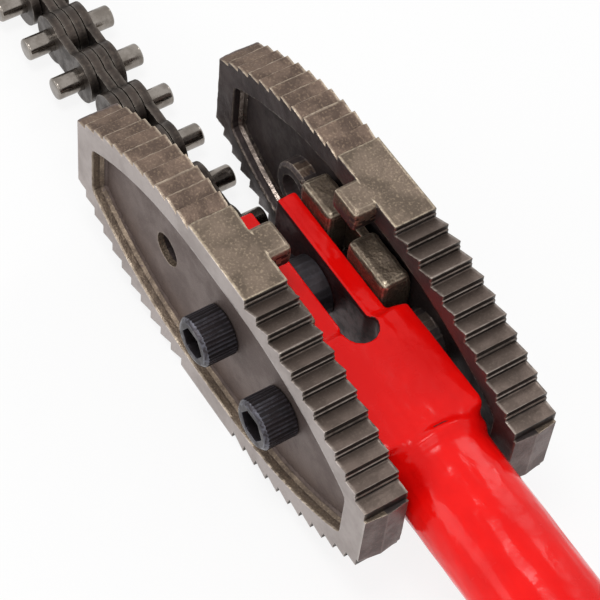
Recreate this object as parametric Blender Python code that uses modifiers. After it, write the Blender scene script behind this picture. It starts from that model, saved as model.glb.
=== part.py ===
"""Chain pipe wrench: two toothed jaws screwed to a forked head, a tube handle and a flat plate chain.

Lengths are in metres and +Z is up. The wrench lies on the lower lands of its jaws, with the handle towards -X
and the chain laid out along the floor towards +X. Places are counted from the middle of the front screw.
"""

from math import asin, cos, pi, radians, sin, sqrt

import bmesh
import bpy
from mathutils import Matrix, Vector

# Jaws and their spacers, counted from the middle plane and from the front screw
JAW_INNER_FACE = 0.0235
JAW_WIDTH = 0.0185
LAND_HEIGHT = 0.0466
LAND_HALF = 0.0194
CREST_RADIUS = 0.1550
CREST_SETBACK = 0.0063
LAST_TIP = 0.1022
TEETH_PER_QUARTER = 11
TOOTH_DEPTH = 0.0046
FRONT_END = 0.1034
FRONT_END_HALF = 0.0170
REAR_END = 0.1046
REAR_END_HALF = 0.0145
END_DRAFT = 0.0013
LUG_HALF = 0.0078
LUG_REACH = 0.0101
LUG_THICKNESS = 0.0105
LUG_DROP = 0.0003
LUG_ROUND = 0.0020
RIM_DEPTH = 0.0112
POCKET_END_WALL = 0.0129
POCKET_ROUND = 0.0025
OUTER_POCKET_DEPTH = 0.0060
INNER_POCKET_DEPTH = 0.0058
POCKET_STEPS = 8
HOLE_SPACING = 0.0422
BOSS_RADIUS = 0.0125
BOSS_CHAMFER = 0.0015
BOSS_SIDES = 20
FRONT_PAD_NEAR = 0.0080
REAR_PAD_NEAR = 0.0040
PAD_FAR = 0.0288
PAD_HALF_HEIGHT = 0.0260
PAD_ROUND = 0.0020
BRIDGE_THICKNESS = 0.0040

# Forked head
SLOT_HALF = 0.0055
ARM_HALF = 0.0142
ARM_TIP = 0.0310
ARM_HALF_HEIGHT = 0.0180
SHOULDER = 0.0325
SHOULDER_RUN = 0.0030
HEAD_OVER_TUBE = 0.0002
HEAD_HALF_HEIGHT = 0.0205
HEAD_REAR = 0.0856
HEAD_ROUND = 0.0009
SLOT_END_RADIUS = 0.0071
SLOT_END_CENTRE = 0.0358
SLOT_END_STEPS = 12

# Handle
TUBE_RADIUS = 0.0212
TUBE_WALL = 0.0032
TUBE_LENGTH = 0.7500
TUBE_SIDES = 36
BEAD_HEIGHT = 0.0022
BEAD_LENGTH = 0.0050
BEAD_STEPS = 4
PLUG_FLANGE = 0.0030
PLUG_DEPTH = 0.0120
PLUG_CHAMFER = 0.0010

# Screws and nuts
SCREW_RADIUS = 0.0070
SCREW_HEAD_RADIUS = 0.0105
SCREW_HEAD_HEIGHT = 0.0140
SCREW_HEAD_CHAMFER = 0.0014
SCREW_END_CHAMFER = 0.0010
SCREW_SIDES = 20
KNURLS = 36
KNURL_DEPTH = 0.0004
SOCKET_HALF_FLATS = 0.0060
SOCKET_DEPTH = 0.0070
NUT_HALF_FLATS = 0.0105
NUT_HEIGHT = 0.0128
NUT_CHAMFER = 0.0012

# Chain
PITCH = 0.0254
LINKS = 15
PLATE_THICKNESS = 0.0040
PLATE_GAP = 0.0005
PLATE_END_RADIUS = 0.0112
PLATE_WAIST_HALF = 0.0088
PLATE_END_ANGLE = radians(130)
PLATE_END_STEPS = 8
PIN_RADIUS = 0.0050
PIN_HALF_LENGTH = 0.0210
PIN_CHAMFER = 0.0007
PIN_SIDES = 16
HOLE_SIDES = 12

# Anchor link, between the front screw and the chain's first pin
ANCHOR_REACH = 0.0686
ANCHOR_EYE_RADIUS = 0.0125
ANCHOR_EYE_HALF = 0.0052
ANCHOR_WAIST_HALF = 0.0085
EYE_SIDES = 24

# Clearance between neighbours, and how far a cutter runs past what it cuts
CLEARANCE = 0.0003
OVERRUN = 0.0050
WELD = 0.00001

# Worked out from the sizes above
JAW_MIDDLE = JAW_INNER_FACE + JAW_WIDTH / 2
JAW_OUTER_FACE = JAW_INNER_FACE + JAW_WIDTH
SCREW_SEAT = JAW_OUTER_FACE - OUTER_POCKET_DEPTH
HEAD_UNDERSIDE = SCREW_SEAT + CLEARANCE
HEAD_FACE = HEAD_UNDERSIDE + SCREW_HEAD_HEIGHT
CREST_X = LAND_HALF - CREST_SETBACK
CREST_Z = LAND_HEIGHT - sqrt(CREST_RADIUS ** 2 - CREST_SETBACK ** 2)
POCKET_HALF = FRONT_END - POCKET_END_WALL
PIN_DROP = LAND_HEIGHT - PLATE_END_RADIUS
FIRST_PIN = sqrt(ANCHOR_REACH ** 2 - PIN_DROP ** 2)
ANCHOR_SLOPE = asin(PIN_DROP / ANCHOR_REACH)
INNER_LAYER = PLATE_GAP / 2
OUTER_LAYER = INNER_LAYER + PLATE_THICKNESS + PLATE_GAP
ANCHOR_HALF = INNER_LAYER + PLATE_THICKNESS
HEAD_HALF = TUBE_RADIUS + HEAD_OVER_TUBE
TUBE_FRONT = HEAD_REAR + CLEARANCE
TUBE_REAR = TUBE_FRONT + TUBE_LENGTH
HANDLE_END = TUBE_REAR + CLEARANCE + PLUG_FLANGE
CHAIN_END = FIRST_PIN + LINKS * PITCH + PLATE_END_RADIUS
FRONT_SCREW = Vector(((HANDLE_END - CHAIN_END) / 2, 0, LAND_HEIGHT))

UPRIGHT = Matrix.Rotation(pi / 2, 4, "X")
ALONG_Y = Matrix.Rotation(-pi / 2, 4, "X")
ALONG_X = Matrix.Rotation(pi / 2, 4, "Y")
HALF_ROUND = Matrix.Rotation(pi, 4, "X")


def clear_scene():
    for item in list(bpy.data.objects):
        bpy.data.objects.remove(item, do_unlink=True)


def new_collection(name):
    group = bpy.data.collections.new(name)
    bpy.context.scene.collection.children.link(group)
    return group


def new_material(name, colour, roughness, metallic):
    material = bpy.data.materials.new(name)
    material.use_nodes = True
    shader = material.node_tree.nodes["Principled BSDF"]
    shader.inputs["Base Color"].default_value = (*colour, 1)
    shader.inputs["Roughness"].default_value = roughness
    shader.inputs["Metallic"].default_value = metallic
    material.diffuse_color = (*colour, 1)
    return material


def add(name, data, group, parent=None, matrix=None):
    """Put a mesh, a curve, or an empty where there is no data, into a collection."""
    item = bpy.data.objects.new(name, data)
    group.objects.link(item)
    item.parent = parent
    item.matrix_local = matrix or Matrix.Identity(4)
    return item


def moved(x=0, y=0, z=0):
    return Matrix.Translation((x, y, z))


def baked(item):
    """The mesh of an object after its modifiers. The object itself is removed."""
    bpy.context.view_layer.update()
    view = bpy.context.evaluated_depsgraph_get()
    mesh = bpy.data.meshes.new_from_object(item.evaluated_get(view))
    mesh.name = item.name
    bpy.data.objects.remove(item, do_unlink=True)
    return mesh


def weld(mesh, flatten=False):
    """Merge a mesh's doubled points, and flat neighbouring faces where a bevel or a cut needs them whole."""
    shape = bmesh.new()
    shape.from_mesh(mesh)
    bmesh.ops.remove_doubles(shape, verts=shape.verts, dist=WELD)
    if flatten:
        bmesh.ops.dissolve_limit(shape, angle_limit=radians(0.1), verts=shape.verts, edges=shape.edges)
    bmesh.ops.recalc_face_normals(shape, faces=shape.faces)
    shape.to_mesh(mesh)
    shape.free()


def prism(name, loops, low, high, turn=None):
    """An outline with holes, filled and drawn out from a low to a high place along its own Z."""
    curve = bpy.data.curves.new(name, "CURVE")
    curve.dimensions = "2D"
    curve.fill_mode = "BOTH"
    curve.extrude = (high - low) / 2
    for loop in loops:
        spline = curve.splines.new("POLY")
        spline.points.add(len(loop) - 1)
        for point, (x, y) in zip(spline.points, loop):
            point.co = (x, y, 0, 1)
        spline.use_cyclic_u = True
    mesh = baked(add(name, curve, cutters))
    bpy.data.curves.remove(curve)
    weld(mesh, len(loops) == 1)
    mesh.transform((turn or Matrix.Identity(4)) @ moved(z=(low + high) / 2))
    return mesh


def side_prism(name, loops, low, high):
    """A prism whose outline is drawn in X and Z, between two places in Y."""
    return prism(name, loops, -high, -low, UPRIGHT)


def turned(name, profile, sides, turn=None):
    """A round piece from points (radius, height) that run down its outer side."""
    line = bpy.data.meshes.new(name)
    line.from_pydata([(radius, 0, height) for radius, height in profile],
                     [(i, i + 1) for i in range(len(profile) - 1)], [])
    item = add(name, line, cutters)
    screw = item.modifiers.new("turn", "SCREW")
    screw.steps = sides
    screw.render_steps = sides
    screw.use_merge_vertices = True
    screw.merge_threshold = WELD
    mesh = baked(item)
    bpy.data.meshes.remove(line)
    weld(mesh, True)
    mesh.transform(turn or Matrix.Identity(4))
    return mesh


def rod(name, radius, low, high, sides, turn=None, chamfer=0):
    """A solid rod between two places on its axis."""
    side = [(radius, high - chamfer), (radius, low + chamfer)]
    ends = [(radius - chamfer, high), (radius - chamfer, low)] if chamfer else []
    return turned(name, [(0, high), *ends[:1], *side, *ends[1:], (0, low)], sides, turn)


def block(name, low, high, edge_round=0):
    """A box between two corners, with rounded edges."""
    mesh = bpy.data.meshes.new(name)
    shape = bmesh.new()
    size = Vector(high) - Vector(low)
    centre = (Vector(high) + Vector(low)) / 2
    bmesh.ops.create_cube(shape, size=1, matrix=Matrix.Translation(centre) @ Matrix.Diagonal((*size, 1)))
    if edge_round:
        bmesh.ops.bevel(shape, geom=shape.edges[:], offset=edge_round, segments=2, profile=0.5,
                        affect="EDGES")
    shape.to_mesh(mesh)
    shape.free()
    return mesh


def arc(x, y, radius, start, end, steps):
    """Points on a circle from one angle to another, both ends included."""
    angles = [start + (end - start) * i / steps for i in range(steps + 1)]
    return [(x + radius * cos(angle), y + radius * sin(angle)) for angle in angles]


def bore(x, y, radius, sides):
    """A hole's outline, whose flats stay outside the radius, so that what runs in it stays clear."""
    return arc(x, y, radius / cos(pi / sides), 0, 2 * pi * (sides - 1) / sides, sides - 1)


def combine(target, name, mesh, operation):
    """Cut, join or keep the common part of a target and a hidden tool."""
    tool = add(name, mesh, cutters)
    tool.hide_render = True
    tool.display_type = "WIRE"
    step = target.modifiers.new(name, "BOOLEAN")
    step.object = tool
    step.operation = operation
    step.solver = "EXACT"


def drill(target, name, x, radius, low, high):
    """A plain hole along Y, with its clearance, past both of the faces that it goes through."""
    corner = (radius + CLEARANCE) / cos(pi / SCREW_SIDES)
    tool = rod(name, corner, low - OVERRUN, high + OVERRUN, SCREW_SIDES, moved(x) @ ALONG_Y)
    combine(target, name, tool, "DIFFERENCE")


def round_edges(item, width):
    bevel = item.modifiers.new("rounded edges", "BEVEL")
    bevel.width = width
    bevel.segments = 2
    bevel.limit_method = "ANGLE"
    bevel.angle_limit = radians(40)


def dressed(mesh, material, sharp=radians(32)):
    """A finished mesh with its material, smooth but for its real edges."""
    weld(mesh)
    mesh.shade_smooth()
    mesh.set_sharp_from_angle(angle=sharp)
    mesh.materials.clear()
    mesh.materials.append(material)
    return mesh


# Jaws and spacers
def toothed_quarter(end, end_half, last_root):
    """Outline of a quarter of the toothed edge, from the land outwards to half of a blunt end."""
    start = asin(CREST_SETBACK / CREST_RADIUS)
    stop = asin((LAST_TIP - CREST_X) / CREST_RADIUS)
    points = []
    for tooth in range(TEETH_PER_QUARTER + 1):
        angle = start + (stop - start) * tooth / TEETH_PER_QUARTER
        x = CREST_X + CREST_RADIUS * sin(angle)
        z = CREST_Z + CREST_RADIUS * cos(angle)
        points.append((x, z))
        if tooth < TEETH_PER_QUARTER or last_root:
            points.append((x, z - TOOTH_DEPTH))
    return [*points, (end, end_half)]


def pocket_quarter():
    """Outline of a quarter of a pocket's edge, one rim inside the tooth tips."""
    radius = CREST_RADIUS - RIM_DEPTH
    stop = asin((POCKET_HALF - CREST_X) / radius)
    angles = [stop * i / POCKET_STEPS for i in range(POCKET_STEPS + 1)]
    return [(CREST_X + radius * sin(angle), CREST_Z + radius * cos(angle)) for angle in angles]


def all_round(front, rear):
    """A closed outline from its upper front and upper rear quarters, both drawn outwards."""
    right = [*front, *[(x, -z) for x, z in reversed(front)]]
    left = [*[(-x, -z) for x, z in rear], *[(-x, z) for x, z in reversed(rear)]]
    return [*right, *left]


def pocket(name, low, high):
    """Cutter for a pocket whose floor is rounded into its walls."""
    quarter = pocket_quarter()
    item = add(name, side_prism(name, [all_round(quarter, quarter)], low, high), cutters)
    round_edges(item, POCKET_ROUND)
    return baked(item)


def jaw_mesh():
    """The left jaw. Turned half round about its length, it is the right one."""
    front = toothed_quarter(FRONT_END, FRONT_END_HALF, False)
    rear = toothed_quarter(REAR_END, REAR_END_HALF, True)
    item = add("jaw", side_prism("jaw", [all_round(front, rear)], JAW_INNER_FACE, JAW_OUTER_FACE), cutters)
    foot, heel = FRONT_END - END_DRAFT, END_DRAFT - REAR_END
    outside, inside = JAW_OUTER_FACE + CLEARANCE, JAW_INNER_FACE - CLEARANCE
    plan = [(FRONT_END, JAW_MIDDLE), (foot, outside), (heel, outside),
            (-REAR_END, JAW_MIDDLE), (heel, inside), (foot, inside)]
    height = LAND_HEIGHT + OVERRUN
    combine(item, "jaw_end_drafts", prism("jaw_end_drafts", [plan], -height, height), "INTERSECT")
    combine(item, "jaw_inner_pocket",
            pocket("jaw_inner_pocket", JAW_INNER_FACE - OVERRUN, JAW_INNER_FACE + INNER_POCKET_DEPTH),
            "DIFFERENCE")
    combine(item, "jaw_outer_pocket", pocket("jaw_outer_pocket", SCREW_SEAT, JAW_OUTER_FACE + OVERRUN),
            "DIFFERENCE")
    web = (JAW_INNER_FACE + INNER_POCKET_DEPTH + SCREW_SEAT) / 2
    for place, side in (("front", 1), ("rear", -1)):
        name = f"jaw_{place}_boss"
        reach = HEAD_HALF + CLEARANCE
        profile = [(0, web), (BOSS_RADIUS, web), (BOSS_RADIUS, reach + BOSS_CHAMFER),
                   (BOSS_RADIUS - BOSS_CHAMFER, reach), (0, reach)]
        boss = turned(name, profile, BOSS_SIDES, moved(side * HOLE_SPACING) @ ALONG_Y)
        combine(item, name, boss, "UNION")
    for place, side in (("upper", 1), ("lower", -1)):
        name = f"jaw_{place}_lug"
        ends = sorted((side * (LAND_HEIGHT - LUG_DROP), side * (LAND_HEIGHT - LUG_DROP - LUG_THICKNESS)))
        low = (-LUG_HALF, JAW_INNER_FACE - LUG_REACH, ends[0])
        combine(item, name, block(name, low, (LUG_HALF, JAW_MIDDLE, ends[1]), LUG_ROUND), "UNION")
    for place, x in (("rear", -HOLE_SPACING), ("middle", 0), ("front", HOLE_SPACING)):
        drill(item, f"jaw_{place}_hole", x, SCREW_RADIUS, 0, JAW_OUTER_FACE)
    return dressed(baked(item), steel_jaw)


def spacer_mesh():
    """The left spacer: two pads against the fork's arm, on a bridge in the jaw's inner pocket."""
    back = JAW_INNER_FACE + INNER_POCKET_DEPTH - CLEARANCE
    length, height, face = PAD_FAR - PAD_ROUND, PAD_HALF_HEIGHT - PAD_ROUND, back - PAD_ROUND
    bridge = block("spacer", (-length, face - BRIDGE_THICKNESS, -height), (length, face, height))
    item = add("spacer", bridge, cutters)
    for place, ends in (("front", (FRONT_PAD_NEAR, PAD_FAR)), ("rear", (-PAD_FAR, -REAR_PAD_NEAR))):
        name = f"spacer_{place}_pad"
        pad = block(name, (ends[0], ARM_HALF + CLEARANCE, -PAD_HALF_HEIGHT), (ends[1], back, PAD_HALF_HEIGHT),
                    PAD_ROUND)
        combine(item, name, pad, "UNION")
    drill(item, "spacer_hole", 0, SCREW_RADIUS, 0, back)
    return dressed(baked(item), steel_jaw)


def build_jaws(wrench):
    for name, mesh in (("jaw", jaw_mesh()), ("spacer", spacer_mesh())):
        add(f"left_{name}", mesh, parts, wrench)
        add(f"right_{name}", mesh, parts, wrench, HALF_ROUND)


# Forked head
def fork_mesh():
    opening = pi - asin(SLOT_HALF / SLOT_END_RADIUS)
    slot_end = arc(-SLOT_END_CENTRE, 0, SLOT_END_RADIUS, pi - opening, pi + opening, SLOT_END_STEPS)
    right = [(ARM_TIP, -SLOT_HALF), (ARM_TIP, -ARM_HALF), (-SHOULDER, -ARM_HALF),
             (-SHOULDER - SHOULDER_RUN, -HEAD_HALF), (-HEAD_REAR, -HEAD_HALF)]
    plan = [*slot_end, *right, *[(x, -y) for x, y in reversed(right)]]
    top = [(ARM_TIP, ARM_HALF_HEIGHT), (-SHOULDER, ARM_HALF_HEIGHT),
           (-SHOULDER - SHOULDER_RUN, HEAD_HALF_HEIGHT), (-HEAD_REAR, HEAD_HALF_HEIGHT)]
    side = [*top, *[(x, -z) for x, z in reversed(top)]]
    height = HEAD_HALF_HEIGHT + OVERRUN
    width = HEAD_HALF + OVERRUN
    item = add("fork", prism("fork", [plan], -height, height), cutters)
    combine(item, "fork_side", side_prism("fork_side", [side], -width, width), "INTERSECT")
    round_edges(item, HEAD_ROUND)
    for name, x in (("fork_front_hole", 0), ("fork_rear_hole", -HOLE_SPACING)):
        drill(item, name, x, SCREW_RADIUS, -HEAD_HALF, HEAD_HALF)
    return dressed(baked(item), red_paint)


def build_head_and_handle(wrench):
    add("fork_head", fork_mesh(), parts, wrench)
    inside = TUBE_RADIUS - TUBE_WALL
    walls = [(TUBE_RADIUS, TUBE_LENGTH), (TUBE_RADIUS, 0), (inside, 0), (inside, TUBE_LENGTH)]
    tube = turned("handle_tube", [*walls, walls[0]], TUBE_SIDES, ALONG_X)
    add("handle_tube", dressed(tube, red_paint), parts, wrench, moved(-TUBE_REAR))
    root = (TUBE_RADIUS + CLEARANCE) / cos(pi / TUBE_SIDES)
    turns = [pi * i / BEAD_STEPS for i in range(BEAD_STEPS + 1)]
    crown = [(root + BEAD_HEIGHT * sin(turn), BEAD_LENGTH * (1 + cos(turn)) / 2) for turn in turns]
    bead = turned("weld_bead", [*crown, crown[0]], TUBE_SIDES, ALONG_X)
    add("weld_bead", dressed(bead, red_paint), parts, wrench, moved(-TUBE_FRONT - BEAD_LENGTH))
    spigot = inside * cos(pi / TUBE_SIDES) - CLEARANCE
    top = PLUG_FLANGE + PLUG_DEPTH
    profile = [(0, top), (spigot - PLUG_CHAMFER, top), (spigot, top - PLUG_CHAMFER), (spigot, PLUG_FLANGE),
               (TUBE_RADIUS, PLUG_FLANGE), (TUBE_RADIUS, PLUG_CHAMFER), (TUBE_RADIUS - PLUG_CHAMFER, 0),
               (0, 0)]
    plug = turned("end_plug", profile, TUBE_SIDES, ALONG_X)
    add("end_plug", dressed(plug, black_plastic), parts, wrench, moved(-HANDLE_END))


# Screws and nuts
def screw_mesh():
    """A socket cap screw along Y, with its head to the left."""
    ridges = [SCREW_HEAD_RADIUS - KNURL_DEPTH * (i % 2) for i in range(2 * KNURLS)]
    turns = [pi * i / KNURLS for i in range(2 * KNURLS)]
    knurled = [(radius * cos(turn), radius * sin(turn)) for radius, turn in zip(ridges, turns)]
    item = add("screw", side_prism("screw", [knurled], HEAD_UNDERSIDE, HEAD_FACE), cutters)
    blank = [(0, HEAD_FACE), (SCREW_HEAD_RADIUS - SCREW_HEAD_CHAMFER, HEAD_FACE),
             (SCREW_HEAD_RADIUS + KNURL_DEPTH, HEAD_FACE - SCREW_HEAD_CHAMFER - KNURL_DEPTH),
             (SCREW_HEAD_RADIUS + KNURL_DEPTH, HEAD_UNDERSIDE - OVERRUN), (0, HEAD_UNDERSIDE - OVERRUN)]
    combine(item, "screw_blank", turned("screw_blank", blank, 2 * SCREW_SIDES, ALONG_Y), "INTERSECT")
    shank = [(0, HEAD_UNDERSIDE + SOCKET_DEPTH / 2), (SCREW_RADIUS, HEAD_UNDERSIDE + SOCKET_DEPTH / 2),
             (SCREW_RADIUS, SCREW_END_CHAMFER - HEAD_FACE), (SCREW_RADIUS - SCREW_END_CHAMFER, -HEAD_FACE),
             (0, -HEAD_FACE)]
    combine(item, "screw_shank", turned("screw_shank", shank, SCREW_SIDES, ALONG_Y), "UNION")
    socket = side_prism("screw_socket", [bore(0, 0, SOCKET_HALF_FLATS, 6)], HEAD_FACE - SOCKET_DEPTH,
                        HEAD_FACE + OVERRUN)
    combine(item, "screw_socket", socket, "DIFFERENCE")
    return dressed(baked(item), black_oxide)


def nut_mesh():
    """A hexagon nut along Y, on the right jaw's seat."""
    high = -HEAD_UNDERSIDE
    low = high - NUT_HEIGHT
    hexagon = bore(0, 0, NUT_HALF_FLATS, 6)
    item = add("nut", side_prism("nut", [hexagon], low, high), cutters)
    corner = NUT_HALF_FLATS / cos(pi / 6) + CLEARANCE
    blank = rod("nut_blank", corner, low, high, SCREW_SIDES, ALONG_Y, NUT_CHAMFER)
    combine(item, "nut_blank", blank, "INTERSECT")
    drill(item, "nut_thread", 0, SCREW_RADIUS, low, high)
    return dressed(baked(item), black_oxide)


def build_screws(wrench):
    screw = screw_mesh()
    nut = nut_mesh()
    for place, x in (("front", 0), ("rear", -HOLE_SPACING)):
        add(f"{place}_screw", screw, parts, wrench, moved(x))
        add(f"{place}_nut", nut, parts, wrench, moved(x))


# Chain
def link_outline(length, near_radius, far_radius, waist_half):
    """A plate's outline, from its near eye at zero to its far eye, drawn in at the waist."""
    half = PLATE_END_ANGLE
    far = arc(length, 0, far_radius, -half, half, PLATE_END_STEPS)
    near = arc(0, 0, near_radius, pi - half, pi + half, PLATE_END_STEPS)
    waist = length / 2
    return [*far, (waist, waist_half), *near, (waist, -waist_half)]


def anchor_mesh():
    outline = link_outline(ANCHOR_REACH, ANCHOR_EYE_RADIUS, PLATE_END_RADIUS, ANCHOR_WAIST_HALF)
    item = add("anchor", side_prism("anchor", [outline], -ANCHOR_HALF, ANCHOR_HALF), cutters)
    eye = rod("anchor_eye", ANCHOR_EYE_RADIUS + CLEARANCE, -ANCHOR_EYE_HALF, ANCHOR_EYE_HALF, EYE_SIDES,
              ALONG_Y)
    combine(item, "anchor_eye", eye, "UNION")
    drill(item, "anchor_screw_hole", 0, SCREW_RADIUS, -ANCHOR_EYE_HALF, ANCHOR_EYE_HALF)
    drill(item, "anchor_pin_hole", ANCHOR_REACH, PIN_RADIUS, -ANCHOR_EYE_HALF, ANCHOR_EYE_HALF)
    return dressed(baked(item), black_oxide)


def build_chain(wrench):
    tilt = Matrix.Rotation(ANCHOR_SLOPE, 4, "Y")
    joint = add("anchor_joint", None, parts, wrench, tilt)
    add("anchor_link", anchor_mesh(), parts, joint)
    outline = link_outline(PITCH, PLATE_END_RADIUS, PLATE_END_RADIUS, PLATE_WAIST_HALF)
    holes = [bore(x, 0, PIN_RADIUS + CLEARANCE, HOLE_SIDES) for x in (0, PITCH)]
    half = PLATE_THICKNESS / 2
    plate = dressed(side_prism("plate", [outline, *holes], -half, half), steel_plate)
    pin = dressed(rod("pin", PIN_RADIUS, -PIN_HALF_LENGTH, PIN_HALF_LENGTH, PIN_SIDES, ALONG_Y, PIN_CHAMFER),
                  steel_pin)
    step = moved(ANCHOR_REACH) @ tilt.inverted()
    for number in range(1, LINKS + 1):
        joint = add(f"link_{number:02d}_joint", None, parts, joint, step)
        step = moved(PITCH)
        outer = number % 2 == 1
        layer = (OUTER_LAYER if outer else INNER_LAYER) + half
        for side, y in (("left", layer), ("right", -layer)):
            add(f"link_{number:02d}_{side}_plate", plate, parts, joint, moved(y=y))
        if outer:
            add(f"link_{number:02d}_rear_pin", pin, parts, joint)
            add(f"link_{number:02d}_front_pin", pin, parts, joint, moved(PITCH))


clear_scene()
parts = new_collection("chain_pipe_wrench")
cutters = new_collection("cutters")
steel_jaw = new_material("forged jaw steel", (0.20, 0.175, 0.165), 0.45, 0.9)
steel_plate = new_material("plate steel", (0.17, 0.15, 0.14), 0.45, 0.9)
steel_pin = new_material("bright pin steel", (0.55, 0.55, 0.56), 0.25, 1.0)
black_oxide = new_material("black oxide", (0.02, 0.02, 0.024), 0.4, 0.6)
red_paint = new_material("red paint", (0.72, 0.012, 0.012), 0.28, 0.0)
black_plastic = new_material("black plastic", (0.02, 0.02, 0.02), 0.5, 0.0)
front_screw = add("front_screw_axis", None, parts, None, Matrix.Translation(FRONT_SCREW))
build_head_and_handle(front_screw)
build_jaws(front_screw)
build_screws(front_screw)
build_chain(front_screw)
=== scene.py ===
"""The looks of a chain pipe wrench: forged jaws, a painted head and handle, black screws and a plate chain.

Lengths are in metres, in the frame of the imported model. The handle points along -X, the chain lies along +X,
and the left jaw is on the +Y side. The jaws' places are counted from the middle of the front screw.
"""

from __future__ import annotations

import logging
from collections.abc import Callable, Iterable
from dataclasses import dataclass, field
from enum import Enum
from math import asin, cos, hypot, pi, radians, sin, sqrt

import bmesh
import bpy
from mathutils import Matrix, Vector, noise


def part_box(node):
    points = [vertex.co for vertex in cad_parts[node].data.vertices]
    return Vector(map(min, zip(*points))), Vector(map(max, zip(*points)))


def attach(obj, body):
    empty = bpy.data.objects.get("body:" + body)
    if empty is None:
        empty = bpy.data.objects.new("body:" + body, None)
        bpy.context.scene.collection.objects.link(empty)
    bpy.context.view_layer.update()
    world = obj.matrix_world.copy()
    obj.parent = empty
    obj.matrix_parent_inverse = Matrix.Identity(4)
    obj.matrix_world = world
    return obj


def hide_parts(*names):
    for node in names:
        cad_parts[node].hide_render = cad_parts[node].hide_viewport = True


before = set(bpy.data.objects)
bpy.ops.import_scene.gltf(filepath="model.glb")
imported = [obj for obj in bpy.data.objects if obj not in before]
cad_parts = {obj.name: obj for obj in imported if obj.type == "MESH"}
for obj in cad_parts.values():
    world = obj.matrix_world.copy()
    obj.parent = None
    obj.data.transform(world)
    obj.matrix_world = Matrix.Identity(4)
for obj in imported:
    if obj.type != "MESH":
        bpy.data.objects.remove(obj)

MM = 0.001
LOG = logging.getLogger("chain_pipe_wrench")

Colour = tuple[float, float, float]
Place = Callable[[Vector], float]

MERGE_REACH = 0.002 * MM
MOVED_MERGE_REACH = 0.01 * MM
CUT_SNAP = 0.001 * MM
GRID_SNAP = 0.0005 * MM
SAME_PLANE = radians(0.4)
MIX_COLOURS = (6, 7)
MIX_RESULT = 2
PIT_DENSITY = 0.7
PIT_SHARE = 0.5
LINE_STRETCH = (1.0, 0.04, 1.0)
SEED_STRIDES = (1.0, 1.7, 2.3)
DENT_ROUGHNESS = 0.9
DENT_STEP = 2.0
DENT_LAYERS = 3


class Slot(Enum):
    """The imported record's material slots."""

    JAW_STEEL = "jaw_steel"
    PLATE_STEEL = "plate_steel"
    PIN_STEEL = "pin_steel"
    BLACK_OXIDE = "black_oxide"
    RED_PAINT = "red_paint"
    BLACK_PLASTIC = "black_plastic"


def shade(red: int, green: int, blue: int) -> Colour:
    """Turn a screen colour into the linear values that shaders take, by the sRGB curve.

    Args:
        red: Red from 0 to 255.
        green: Green from 0 to 255.
        blue: Blue from 0 to 255.

    Returns:
        The same colour in linear light.
    """
    parts = (value / 255 for value in (red, green, blue))
    return tuple(part / 12.92 if part <= 0.04045 else ((part + 0.055) / 1.055) ** 2.4 for part in parts)


def smooth_step(low: float, high: float, value: float) -> float:
    """Rise softly from 0 at one value to 1 at another.

    Args:
        low: Value at which the result is 0.
        high: Value at which the result is 1.
        value: Value to read.

    Returns:
        A number from 0 to 1.
    """
    share = min(1.0, max(0.0, (value - low) / (high - low)))
    return share * share * (3 - 2 * share)


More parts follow.
